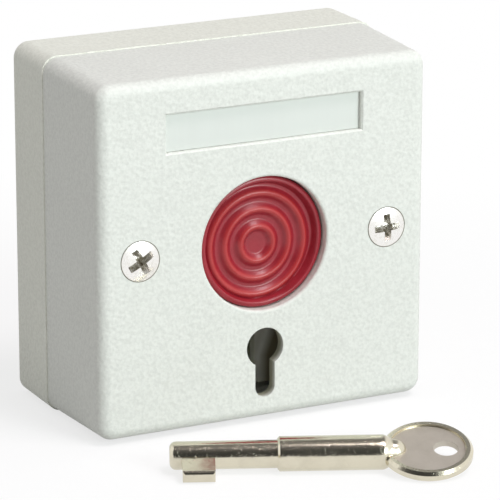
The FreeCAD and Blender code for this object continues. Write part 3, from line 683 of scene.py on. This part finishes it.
# %% [markdown]
# ## A softer red cap
# The CAD cap is turned from straight lines, so its rings have hard edges. The moulded rings are
# soft waves, and their thin bright crests are the first thing that one sees. The front of the cap
# is made again here as a height over a round grid: three rings drawn as cosine waves, and a raised
# band with a rounded edge. On the real cap the rings are not centred: their middle lies more than
# half a millimetre to the lower left, so the groove inside the band is wider at the upper right.
# Two fields with centres of their own, joined by taking the higher one, give exactly that.

# %% Shape of the ringed face
cap_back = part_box("push_button")[1].y
ring_middle = Vector((-0.55, 0, -0.44)) * mm
ring_radii = (3.10 * mm, 6.17 * mm, 9.08 * mm)
ring_rise = 0.88 * mm
ring_half = 1.35 * mm
band_from, band_to, band_flat = 10.1 * mm, 11.0 * mm, 11.05 * mm
band_rise = 1.4 * mm
cap_radius = 11.85 * mm
flange_radius, flange_thickness = 13.28 * mm, 1.5 * mm
skirt_inside = 10.05 * mm
socket_outside, socket_inside, socket_length = 4.55 * mm, 3.05 * mm, 3 * mm
cap_thickness = 2 * mm


def wave(part):
    """Half a cosine wave: 1 at 0, 0 at 1 and beyond."""
    return 0.5 + 0.5 * math.cos(math.pi * min(max(part, 0), 1))


def cap_height(x, z):
    """Height of the ringed face over its floor, x and z from the cap's middle."""
    from_rings = math.hypot(x - ring_middle.x, z - ring_middle.z)
    nearest = min(abs(from_rings - ring) for ring in ring_radii)
    band = 1 - wave((math.hypot(x, z) - band_from) / (band_to - band_from))
    return max(ring_rise * wave(nearest / ring_half), band_rise * band)


print("crest of the band at y = %.2f mm" % ((button_floor - band_rise) / mm))

# %% [markdown]
# The grid's circles go from the middle to the flat of the band. Then follow the rounded edge and the
# section of the skirt, the flange and the socket, which are plain circles. The first and the last
# circle are single points on the axis.

# %% Build the cap
grid_circles = 120
cap_points = 180
edge_round = cap_radius - band_flat
edge_turns = [math.radians(15 * step) for step in range(1, 7)]
band_y = button_floor - band_rise
floor_back = button_floor + cap_thickness
socket_back = floor_back + socket_length
flange_front = cap_back - flange_thickness
plain_circles = [
    (band_flat + edge_round * math.sin(turn), band_y + edge_round * (1 - math.cos(turn)))
    for turn in edge_turns
] + [
    (cap_radius, flange_front), (flange_radius, flange_front), (flange_radius, cap_back),
    (skirt_inside, cap_back), (skirt_inside, floor_back), (socket_outside, floor_back),
    (socket_outside, socket_back), (socket_inside, socket_back), (socket_inside, floor_back),
    (0.0, floor_back),
]


def cap_circle(radius, depth):
    """Circle round the cap's axis; `depth` gives y from x and z."""
    flat = circle(Vector(), radius, Vector((1, 0, 0)), Vector((0, 0, 1)), cap_points)
    x, z = button_axis.x, button_axis.z
    return [(x + spot.x, depth(spot.x, spot.z), z + spot.z) for spot in flat]


cap_circles = [
    cap_circle(band_flat * step / grid_circles, lambda x, z: button_floor - cap_height(x, z))
    for step in range(grid_circles + 1)
]
cap_circles += [cap_circle(radius, lambda x, z: y) for radius, y in plain_circles]
cap = skinned("ringed_cap", cap_circles)
cap.data.materials.append(cap_red)
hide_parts("push_button")
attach(cap, "button")
print("cap faces:", len(cap.data.polygons))

# %% [markdown]
# ## The key's shoulder
# On the real key the collar runs on into the rim of the bow and ends there in a round nose, with one
# soft hollow between the two. The CAD key has a bevelled collar and a straight neck at this place.
# The hollow is a turned form, so it is made like the cap: circles along the key's axis, from inside
# the collar to the tip of the nose. Distances along the key count from the tip of its shank.

# %% Turn the shoulder
key_run = Vector((0.91424, -0.40514, 0.00367))
bow_distance = 43.55 * mm
nose_start, nose_radius = 37.8 * mm, 2.25 * mm
nose_turns = [math.radians(15 * step) for step in range(1, 6)]
shoulder_points = 64
inside_collar = [(35.0 * mm, 2.5 * mm), (35.05 * mm, 2.985 * mm)]
hollow = [
    (35.9 * mm, 2.985 * mm), (36.15 * mm, 2.95 * mm), (36.45 * mm, 2.85 * mm),
    (36.8 * mm, 2.67 * mm), (37.15 * mm, 2.48 * mm), (37.5 * mm, 2.33 * mm),
]
shoulder_section = inside_collar + hollow + [(nose_start, nose_radius)] + [
    (nose_start + nose_radius * math.sin(turn), nose_radius * math.cos(turn)) for turn in nose_turns
]


def on_key(distance):
    """Point of the key's axis, counted from the tip of the shank."""
    return Vector(bow_middle) + key_run * (distance - bow_distance)


key_up = Vector(bow_normal)
key_side = key_run.cross(key_up)
shoulder = skinned("key_shoulder", [
    circle(on_key(distance), radius, key_up, key_side, shoulder_points)
    for distance, radius in shoulder_section
])
shoulder.data.materials.append(key_nickel)
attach(shoulder, "housing")
print("shoulder faces:", len(shoulder.data.polygons))

# %% [markdown] ## Coiled springs One spring pushes the button out and another pushes the latch
# down. Their CAD solids are chains of straight stretches that keep their length, so a pressed cap
# would run into its spring. Here both are round wire on a helix whose first and last turns lie
# nearly flat, as wound springs have them.

# %% Wind round wire
wire_points = 12
steps_a_turn = 40


def coiled(name, foot, head, mean_radius, wire, turns):
    """Round wire wound from `foot` to `head`, closed by one nearly flat turn at each end."""
    run = (head - foot).normalized()
    right = run.orthogonal().normalized()
    up = run.cross(right)
    closed = 1.05 * wire
    pitch = ((head - foot).length - wire - 2 * closed) / (turns - 2)
    circles = []
    for step in range(turns * steps_a_turn + 1):
        turn = step / steps_a_turn
        ends = min(turn, 1) + max(turn - turns + 1, 0)
        climb = wire / 2 + closed * ends + pitch * (turn - ends)
        angle = 2 * math.pi * turn
        outward = math.cos(angle) * right + math.sin(angle) * up
        centre = foot + run * climb + outward * mean_radius
        circles.append(circle(centre, wire / 2, outward, run, wire_points))
    return skinned(name, circles)


print("a turn of wire has", steps_a_turn * wire_points, "faces")

# %% [markdown]
# Each row of the table gives the new piece, the CAD node that it stands for, the joint that presses
# it, the axis that it lies along, its mean radius, the wire's thickness, its turns and the joint's
# travel. The head is at the low end of the axis: there the cap pushes the first spring and the
# latch pushes the second. The far end is held.

# %% The two springs
springs = (
    ("button_coil", "button_spring", "button_press", "y", 5.3 * mm, 0.8 * mm, 5, 4.0 * mm),
    ("latch_coil", "latch_spring", "latch_lift", "z", 1.55 * mm, 0.5 * mm, 4, 2.5 * mm),
)
for name, node, joint, axis, mean_radius, wire, turns, travel in springs:
    low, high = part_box(node)
    head, foot = middle(node), middle(node)
    setattr(head, axis, getattr(low, axis))
    setattr(foot, axis, getattr(high, axis))
    coil = coiled(name, foot, head, mean_radius, wire, turns)
    coil.data.materials.append(wire_steel)
    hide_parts(node)
    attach(coil, "housing")
    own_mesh(coil)

# %% [markdown]
# ## Floor
# The box stands on a white table. In the photograph it is so white that only the object is seen,
# so camera rays meet a nearly white glow there. A share of plain white shading is left in near the
# object, and that share carries the soft shadow. Mirror and glass rays see the same white, so the
# nickel shows a white table, while the light that the table throws back on the box stays at the
# level of a plain grey card.

# %% White table with a soft shadow
white = plain(1, 1, 1)
grey_paper = plain(0.52, 0.52, 0.51)


def ray(finish, kind):
    """1 for rays of a kind, such as those from the camera, from a mirror or through glass."""
    return finish.node("ShaderNodeLightPath", out="Is %s Ray" % kind)


def table_finish(reach, shadow_share):
    finish = new_finish("white_table")
    away = vector_maths(finish, "LENGTH", place_of(finish), out=1)
    near = steps(finish, away, reach * 0.4, reach, shadow_share, 0.0)
    rays = ray(finish, "Camera") + ray(finish, "Glossy") + ray(finish, "Transmission")
    seen = steps(finish, rays, 0.0, 1.0)
    white_card = finish.node("ShaderNodeBsdfDiffuse", {}, {"Color": white})
    grey_card = finish.node("ShaderNodeBsdfDiffuse", {}, {"Color": grey_paper})
    glow = finish.node("ShaderNodeEmission", {}, {"Color": white, "Strength": 1.0})
    bright = finish.node("ShaderNodeMixShader", {}, {0: near, 1: glow, 2: white_card})
    return finish.close(finish.node("ShaderNodeMixShader", {}, {0: seen, 1: grey_card, 2: bright}))


def floor_sheet(half, z):
    """One large square, centred under the object."""
    sheet = bmesh.new()
    corners = ((-half, -half, z), (half, -half, z), (half, half, z), (-half, half, z))
    sheet.faces.new([sheet.verts.new(corner) for corner in corners])
    mesh = bpy.data.meshes.new("table_top")
    sheet.to_mesh(mesh)
    sheet.free()
    return bpy.data.objects.new("table_top", mesh)


table_top = floor_sheet(half=4.0, z=table_z)
bpy.context.scene.collection.objects.link(table_top)
table_top.data.materials.append(table_finish(reach=0.14, shadow_share=0.3))
print("table top at z = %.2f mm" % (table_z / mm))

# %% [markdown]
# ## The room
# The room is an even grey that fills the shadows. Only mirrors see more of it: in front of the box,
# a little to its left, the room is unlit, dark at eye level and slowly paler up to the ceiling and
# down behind the box, and that draws the dark band along the upper half of the key. To the right the
# room is white, which is what the screw heads show. The unlit part is a slice of the room, wider on
# its left, where it darkens the left slopes of the cap's rings. `ahead` tells how far round a ray
# has turned in that slice, and `aside` how far it has left it. Both are measured in the room, so
# the slice stays where it is when the view changes.

# %% World
unlit_side = (-0.405, -0.914, 0)
right_of_it = (0.914, -0.405, 0)
slice_greys = [
    (0.0, 0.035), (0.07, 0.04), (0.25, 0.09), (0.5, 0.14), (0.67, 0.2), (0.86, 0.38), (1.0, 0.95),
]


def studio_room(level, bright):
    world = bpy.data.worlds.new("studio_room")
    bpy.context.scene.world = world
    finish = Finish(world, "ShaderNodeOutputWorld")
    direction = finish.node("ShaderNodeTexCoord", out=0)
    ahead = vector_maths(finish, "DOT_PRODUCT", direction, unlit_side, out=1)
    aside = vector_maths(finish, "DOT_PRODUCT", direction, right_of_it, out=1)
    widening = steps(finish, along(finish, direction, 2), 0.0, 1.0, 0.0, 0.3)
    widening += steps(finish, aside, -0.02, 0.02, 0.5, 0.0) * steps(finish, ahead, 0.1, 0.4)
    turned = 0.5 - 0.5 * ahead
    slice_tone = finish.node("ShaderNodeValToRGB", {"stops": slice_greys}, {"Fac": turned})
    outside = steps(finish, abs(aside) - widening, 0.12, 0.34)
    mirrored = finish.mix(outside, slice_tone, plain(bright, bright, bright))
    seen = steps(finish, ray(finish, "Camera") + ray(finish, "Transmission"), 0.0, 1.0)
    unmirrored = finish.mix(seen, plain(level, level, level), white)
    colour = finish.mix(ray(finish, "Glossy"), unmirrored, mirrored)
    finish.close(finish.node("ShaderNodeBackground", {}, {"Color": colour, "Strength": 1.0}))
    return world


room = studio_room(level=0.47, bright=1.1)
print("room:", room.name)

# %% [markdown]
# ## Two soft lamps
# One lamp stands in front to the right, a little above eye level, and is a touch cool. The other
# hangs over the box and is a touch warm, which keeps the top from looking as green as the face.
# Both are soft squares. An area lamp far off gives its power divided by pi squared and by the square
# of the distance, so the level that is wanted on the face decides the power.

# %% Lamps
lit_point = Vector((0, -20 * mm, 0))


def soft_lamp(name, azimuth, height, away, size, level, tint):
    """Square area lamp on a sphere round the box: azimuth 0 is in front, 90 is at the right."""
    data = bpy.data.lights.new(name, "AREA")
    data.size = size
    data.energy = level * (math.pi * away) ** 2
    data.color = tint
    lamp = bpy.data.objects.new(name, data)
    a, h = math.radians(azimuth), math.radians(height)
    outward = Vector((math.sin(a) * math.cos(h), -math.cos(a) * math.cos(h), math.sin(h)))
    lamp.location = lit_point + outward * away
    lamp.rotation_mode = "QUATERNION"
    lamp.rotation_quaternion = outward.to_track_quat("Z", "Y")
    bpy.context.scene.collection.objects.link(lamp)
    return lamp


lamps_away = 1.2
cool, warm = (0.885, 1.0, 0.99), (1.0, 0.915, 0.95)
front_lamp = soft_lamp("front_lamp", 19, 18, lamps_away, size=0.5, level=0.505, tint=cool)
top_lamp = soft_lamp("top_lamp", 32, 66, lamps_away, size=0.4, level=0.385, tint=warm)
for lamp in (front_lamp, top_lamp):
    print("%s: %.1f W at %s" % (lamp.name, lamp.data.energy, [round(c, 2) for c in lamp.location]))

# %% [markdown]
# ## Camera
# The photograph was taken from far off with a long lens, from the left and a little above. These
# values came from matching the box's edges. The frame is 500 pixels square, and the lens length
# follows from the focal length in pixels.

# %% Camera
camera_place = Vector((-261.98, -555.75, 174.30)) * mm
look_right = math.radians(26.387)
look_down = math.radians(16.69)
camera_roll = math.radians(-0.05)
focal_pixels = 3528
frame_pixels = 500

camera_data = bpy.data.cameras.new("camera")
camera_data.sensor_width = 36.0
camera_data.lens = camera_data.sensor_width * focal_pixels / frame_pixels
camera_data.clip_start = 10 * mm
camera = bpy.data.objects.new("camera", camera_data)
camera.location = camera_place
camera.rotation_mode = "XYZ"
camera.rotation_euler = (math.radians(90) - look_down, camera_roll, -look_right)
bpy.context.scene.collection.objects.link(camera)
bpy.context.scene.camera = camera
bpy.context.scene.view_settings.view_transform = "Standard"
print("lens %.0f mm" % camera_data.lens)

# %% [markdown] ## End of the scene
